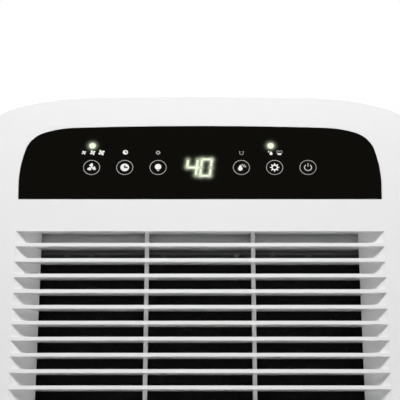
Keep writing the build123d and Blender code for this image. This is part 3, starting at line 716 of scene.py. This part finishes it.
def lit_finish(name, colour, level):
    """Lit mark: emission in its colour over a dark diffuser."""
    material, _, principled = new_finish(name, (0.02, 0.02, 0.02), 0.02)
    principled.inputs["Roughness"].default_value = 0.5
    principled.inputs["Emission Color"].default_value = (*colour, 1)
    principled.inputs["Emission Strength"].default_value = level
    return material


def glow_finish(panel_colour):
    """Panel black that gives out the glow stored on its points."""
    material, tree, principled = new_finish("panel_glow", panel_colour, 0.02)
    principled.inputs["Roughness"].default_value = 0.12
    principled.inputs["Specular IOR Level"].default_value = 0.06
    principled.inputs["Emission Strength"].default_value = 1.0
    stored = tree.nodes.new("ShaderNodeAttribute")
    stored.attribute_name = "glow"
    tree.links.new(stored.outputs["Color"], principled.inputs["Emission Color"])
    return material


def slot_finishes(settings):
    """The finish for each material slot of the CAD pieces."""
    return {
        "shell_white": moulded(
            "casing_white", settings.casing, 0.42, grain=1700.0, depth=0.00002, strength=0.22, drift=0.012
        ),
        "panel_black": moulded(
            "panel_gloss",
            settings.panel,
            0.10,
            grain=400.0,
            depth=0.000004,
            strength=0.08,
            drift=0.05,
            Specular_IOR_Level=0.06,
        ),
        "duct_grey": moulded("duct_grey", (0.62, 0.62, 0.62), 0.55, grain=1200.0),
        "filter_grey": moulded("filter_frame_grey", (0.17, 0.17, 0.168), 0.5, grain=1200.0, dust=0.1),
        "mesh_black": gauze_finish(),
        "copper": metal("copper_tube", (0.80, 0.40, 0.26), 0.28, (6.0, 700.0, 700.0), drift=0.25),
        "fin_aluminium": metal("fin_aluminium", (0.78, 0.79, 0.80), 0.32, (500.0, 500.0, 8.0), dust=0.1),
        "zinc_steel": metal("zinc_steel", (0.60, 0.61, 0.63), 0.36, (60.0, 60.0, 500.0), drift=0.16),
        "black_enamel": moulded(
            "black_enamel",
            (0.012, 0.012, 0.013),
            0.28,
            grain=260.0,
            depth=0.00008,
            strength=0.3,
            drift=0.3,
            dust=0.5,
        ),
        "rubber_black": moulded(
            "rubber_black",
            (0.020, 0.020, 0.020),
            0.78,
            grain=900.0,
            depth=0.00006,
            strength=0.4,
            drift=0.3,
            dust=0.2,
        ),
        "tank_clear": moulded(
            "tank_clear",
            (0.74, 0.82, 0.86),
            0.24,
            grain=700.0,
            depth=0.00002,
            strength=0.15,
            drift=0.02,
            Transmission_Weight=0.55,
            IOR=1.45,
        ),
        "window_smoke": moulded(
            "window_smoke",
            (0.62, 0.70, 0.74),
            0.08,
            grain=500.0,
            depth=0.00001,
            strength=0.1,
            drift=0.02,
            Transmission_Weight=0.85,
            IOR=1.49,
        ),
        "handle_grey": moulded("handle_grey", (0.30, 0.31, 0.32), 0.45, grain=1300.0, dust=0.1),
        "foam_white": moulded(
            "float_foam", (0.82, 0.82, 0.76), 0.8, grain=420.0, depth=0.0002, strength=0.7, drift=0.06
        ),
        "board_green": moulded(
            "board_green", (0.025, 0.14, 0.06), 0.22, grain=240.0, depth=0.00006, strength=0.3, drift=0.3
        ),
        "part_black": moulded("part_black", (0.022, 0.022, 0.023), 0.45, grain=1300.0, drift=0.2, dust=0.15),
        "can_metal": metal("can_metal", (0.70, 0.70, 0.71), 0.30, (400.0, 8.0, 400.0)),
        "wheel_grey": moulded(
            "wheel_grey",
            (0.055, 0.055, 0.058),
            0.62,
            grain=700.0,
            depth=0.00008,
            strength=0.5,
            drift=0.3,
            dust=0.4,
        ),
        "fan_black": moulded("fan_black", (0.020, 0.020, 0.022), 0.48, grain=1200.0, drift=0.2, dust=0.4),
        "tray_grey": moulded("tray_grey", (0.24, 0.25, 0.26), 0.5, grain=1100.0, dust=0.2),
    }


# ---------------------------------------------------------------- operators


class DEHUM_OT_finishes(bpy.types.Operator):
    """Gives every CAD piece the finish of its material slot."""

    bl_idname = "dehum.finishes"
    bl_label = "Piece finishes"

    def execute(self, context):
        GROUPS.update(build_groups())
        finishes = slot_finishes(context.scene.dehum_finish)
        for row in frame["record"]["subparts"]:
            piece = frame["nodes"][row["node"]]
            for slot in piece.material_slots:
                slot.material = finishes[row["material_slot"]]
        return {"FINISHED"}


class DEHUM_OT_key_symbols(bpy.types.Operator):
    """Prints the touch keys' rings and the symbols inside them."""

    bl_idname = "dehum.key_symbols"
    bl_label = "Key rings and symbols"

    def execute(self, context):
        sizes, colours = context.scene.dehum_panel, context.scene.dehum_finish
        white = moulded("print_white", colours.print_white, 0.5, drift=0.02)
        grey = moulded("print_grey", colours.print_grey, 0.5, drift=0.02)
        keys = [np.array([x, KEY_ROW]) for x in KEY_ACROSS]
        rings = [ring(key, sizes.ring_radius - sizes.ring_line, sizes.ring_radius, 96) for key in keys]
        join_marks("key_rings", rings, grey)
        fan, clock, bulb, drop, gear, power = keys
        marks = fan_marks(fan, KEY_FAN_RADIUS, 3, math.radians(80))
        marks.append(disc(clock, KEY_CLOCK_RADIUS))
        marks += bulb_marks(bulb)
        marks += drop_marks(drop + [-0.85, -0.25], 3.7, 5.4)
        marks.append(gear_mark(gear, KEY_GEAR, 160))
        join_marks("key_symbols", marks, white)
        fine = bulb_cap(bulb) + percent_marks(drop + [1.9, 1.6], 3.0)
        fine += power_marks(power, POWER_RADIUS, POWER_LINE)
        join_marks("key_symbols_grey", fine, grey)
        black = moulded("print_black", (0.01, 0.01, 0.009), 0.5)
        hands = clock_hands(clock, KEY_CLOCK_RADIUS) + clock_hands(SMALL_CLOCK, SMALL_CLOCK_RADIUS)
        join_marks("clock_hands", hands, black)
        return {"FINISHED"}


class DEHUM_OT_small_symbols(bpy.types.Operator):
    """Prints the row of small symbols above the keys."""

    bl_idname = "dehum.small_symbols"
    bl_label = "Small symbols"

    def execute(self, context):
        colours = context.scene.dehum_finish
        white = bpy.data.materials["print_white"]
        dim = moulded("print_dim", tuple(c * 0.62 for c in colours.print_grey), 0.5, drift=0.02)
        marks = []
        for x, radius in SMALL_FANS:
            marks += fan_marks((x, SMALL_ROW), radius, 4, math.radians(12))
        marks.append(disc(SMALL_CLOCK, SMALL_CLOCK_RADIUS))
        marks += drop_marks((56.8, SMALL_ROW - 0.5), 2.5, 3.5)
        marks += drop_marks((55.0, SMALL_ROW + 0.9), 1.1, 1.5)
        marks.append(tapered(TUB_AT, *TUB_FILL))
        join_marks("small_symbols", marks, white)
        fine = [gear_mark(SMALL_GEAR_AT, SMALL_GEAR, 96)]
        fine += path_marks(BUCKET_AT, BUCKET, OUTLINE_HALF)
        fine += path_marks(BUCKET_AT, BUCKET_LEVEL, LEVEL_HALF)
        fine += path_marks(TUB_AT, TUB, OUTLINE_HALF)
        join_marks("small_symbols_dim", fine, dim)
        return {"FINISHED"}


class DEHUM_OT_lit_marks(bpy.types.Operator):
    """Makes the two lit digits and the two lit dots."""

    bl_idname = "dehum.lit_marks"
    bl_label = "Digits and lit dots"

    def execute(self, context):
        sizes, colours = context.scene.dehum_panel, context.scene.dehum_finish
        lit = lit_finish("lit_mark", colours.light, 1.0)
        bars = [bar(start, end, sizes.digit_bar / 2, lift=OVER_PRINT_LIFT) for start, end in lit_bars(sizes)]
        join_marks("digits", bars, lit)
        join_marks("lamps", [disc((x, LAMP_ROW), sizes.lamp_radius) for x in LAMP_ACROSS], lit)
        return {"FINISHED"}


def glow_patch(name, low, high, field, material, steps):
    """Thin sheet over the panel whose points hold a glow: the field's level at each point of a grid."""
    across = np.linspace(low[0], high[0], steps[0])
    up = np.linspace(low[1], high[1], steps[1])
    grid = np.stack(np.meshgrid(across, up, indexing="ij"), axis=-1)
    top = on_panel(grid, GLOW_LIFT).reshape(-1, 3)
    mesh = make_mesh(name, top, grid_faces(steps[0], steps[1], False, False))
    place = np.empty(len(mesh.vertices) * 3)
    mesh.vertices.foreach_get("co", place)
    offset = place.reshape(-1, 3) - PANEL_FOOT
    marks = np.stack([offset[:, 0] / MM, offset @ UP_FACE / MM + FOOT_RISE], axis=1)
    level = np.clip(field(marks), 0.0, GLOW_MOST)
    glow = mesh.attributes.new("glow", "FLOAT_COLOR", "POINT")
    colour = np.concatenate([level[:, None] * GLOW_TINT, np.ones((len(level), 1))], axis=1)
    glow.data.foreach_set("color", colour.astype(np.float32).ravel())
    add_piece(name, mesh, material, "cabinet")


def distance_to(marks, start, end):
    """Distance from points to a straight line between two ends."""
    along = end - start
    t = np.clip((marks - start) @ along / (along @ along), 0, 1)
    return np.linalg.norm(marks - (start + t[:, None] * along), axis=1)


class DEHUM_OT_glow(bpy.types.Operator):
    """Lays the soft glow round the lit digits and dots."""

    bl_idname = "dehum.glow"
    bl_label = "Glow"

    def execute(self, context):
        sizes, colours = context.scene.dehum_panel, context.scene.dehum_finish
        material = glow_finish(colours.panel)
        bars = lit_bars(sizes)

        def digit_field(marks):
            total = np.zeros(len(marks))
            for line in bars:
                gap = np.clip(distance_to(marks, line[0], line[1]) - sizes.digit_bar / 2, 0, None)
                total += np.exp(-((gap / sizes.glow_reach) ** GLOW_FALL))
            edge = np.minimum(marks[:, 0] - DIGIT_GLOW_LOW[0], DIGIT_GLOW_HIGH[0] - marks[:, 0])
            return sizes.glow_level * total**1.1 * np.clip(edge, 0, 1)

        glow_patch("digit_glow", DIGIT_GLOW_LOW, DIGIT_GLOW_HIGH, digit_field, material, (100, 90))
        for side, x in zip(("left", "right"), LAMP_ACROSS):

            def lamp_field(marks, x=x):
                gap = np.clip(np.hypot(marks[:, 0] - x, marks[:, 1] - LAMP_ROW) - sizes.lamp_radius, 0, None)
                return sizes.glow_level * np.exp(-((gap / sizes.glow_reach) ** GLOW_FALL))

            low = (x - LAMP_GLOW_HALF, LAMP_ROW - LAMP_GLOW_HALF)
            high = (x + LAMP_GLOW_HALF, LAMP_ROW + LAMP_GLOW_HALF)
            glow_patch(f"lamp_glow_{side}", low, high, lamp_field, material, (48, 48))
        return {"FINISHED"}


def add_light(name, size, power, place, turn, spread=math.pi, axis="X"):
    """Soft rectangular light that shines down until it is turned about an axis."""
    light = bpy.data.lights.new(name, "AREA")
    light.shape, light.size, light.size_y = "RECTANGLE", *size
    light.energy, light.spread = power, spread
    lamp = bpy.data.objects.new(name, light)
    bpy.context.scene.collection.objects.link(lamp)
    lamp.matrix_world = Matrix.Translation(place) @ Matrix.Rotation(turn, 4, axis)


class DEHUM_OT_stage(bpy.types.Operator):
    """Floor, soft lights, surroundings and the camera."""

    bl_idname = "dehum.stage"
    bl_label = "Stage"

    def execute(self, context):
        stage = context.scene.dehum_stage
        half = stage.floor_half
        corners = np.array([[-half, -half, 0], [half, -half, 0], [half, half, 0], [-half, half, 0]])
        floor_mesh = make_mesh("floor", corners - [0, 0, FLOOR_DROP], np.array([[0, 1, 2, 3]]))
        floor_look = moulded("floor_pale", (0.80, 0.80, 0.80), 0.6, 300.0, drift=0.01)
        floor_mesh.materials.append(floor_look)
        floor = bpy.data.objects.new("floor", floor_mesh)
        context.scene.collection.objects.link(floor)

        world = bpy.data.worlds.new("studio")
        context.scene.world = world
        world.use_nodes = True
        tree = world.node_tree
        tree.nodes.clear()
        seen, soft = tree.nodes.new("ShaderNodeBackground"), tree.nodes.new("ShaderNodeBackground")
        seen.inputs["Color"].default_value = (1, 1, 1, 1)
        soft.inputs["Color"].default_value = (1, 1, 1, 1)
        soft.inputs["Strength"].default_value = stage.sky
        ray = tree.nodes.new("ShaderNodeLightPath")
        mix, out = tree.nodes.new("ShaderNodeMixShader"), tree.nodes.new("ShaderNodeOutputWorld")
        tree.links.new(ray.outputs["Is Camera Ray"], mix.inputs[0])
        tree.links.new(soft.outputs[0], mix.inputs[1])
        tree.links.new(seen.outputs[0], mix.inputs[2])
        tree.links.new(mix.outputs[0], out.inputs[0])

        add_light("key", KEY_SIZE, stage.key_power, stage.key_at, stage.key_tilt, stage.key_spread)
        add_light("fill", FILL_SIZE, stage.fill_power, FILL_AT, FILL_TURN)
        add_light("back", BACK_SIZE, stage.back_power, BACK_AT, BACK_TURN)
        for name, side in (("left", -1), ("right", 1)):
            place = (side * SIDE_AT[0], *SIDE_AT[1:])
            add_light(name, SIDE_SIZE, stage.side_power, place, side * SIDE_TURN, axis="Y")

        target = PANEL_FOOT - FOOT_RISE * MM * UP_FACE
        tilt = stage.camera_rise
        look = np.array([0.0, math.cos(tilt), math.sin(tilt)])
        camera = bpy.data.cameras.new("camera")
        camera.lens, camera.sensor_width, camera.clip_start = stage.lens, SENSOR_WIDTH, CLIP_START
        eye = bpy.data.objects.new("camera", camera)
        context.scene.collection.objects.link(eye)
        eye.location = target - look * stage.camera_back
        eye.rotation_euler = (math.pi / 2 + tilt, 0, 0)
        context.scene.camera = eye
        context.scene.view_settings.view_transform = "Standard"
        return {"FINISHED"}


class DEHUM_PT_sidebar(bpy.types.Panel):
    """Lists the build steps and the settings."""

    bl_label = "Dehumidifier"
    bl_idname = "DEHUM_PT_sidebar"
    bl_space_type = "VIEW_3D"
    bl_region_type = "UI"
    bl_category = "Dehumidifier"

    def draw(self, context):
        for step in STEPS:
            self.layout.operator(step.bl_idname)
        for group in (context.scene.dehum_panel, context.scene.dehum_finish, context.scene.dehum_stage):
            for name in group.bl_rna.properties.keys():
                if name not in ("rna_type", "name"):
                    self.layout.prop(group, name)


STEPS = (
    DEHUM_OT_finishes,
    DEHUM_OT_key_symbols,
    DEHUM_OT_small_symbols,
    DEHUM_OT_lit_marks,
    DEHUM_OT_glow,
    DEHUM_OT_stage,
)
CLASSES = (PanelSettings, FinishSettings, StageSettings, *STEPS, DEHUM_PT_sidebar)


def register():
    """Registers every class and attaches the settings to the scene."""
    for item in CLASSES:
        bpy.utils.register_class(item)
    bpy.types.Scene.dehum_panel = bpy.props.PointerProperty(type=PanelSettings)
    bpy.types.Scene.dehum_finish = bpy.props.PointerProperty(type=FinishSettings)
    bpy.types.Scene.dehum_stage = bpy.props.PointerProperty(type=StageSettings)


def unregister():
    """Undoes register."""
    del bpy.types.Scene.dehum_panel, bpy.types.Scene.dehum_finish, bpy.types.Scene.dehum_stage
    for item in reversed(CLASSES):
        bpy.utils.unregister_class(item)


def main():
    """Runs every step in order."""
    register()
    for step in STEPS:
        family, name = step.bl_idname.split(".")
        getattr(getattr(bpy.ops, family), name)()


if __name__ == "__main__":
    main()
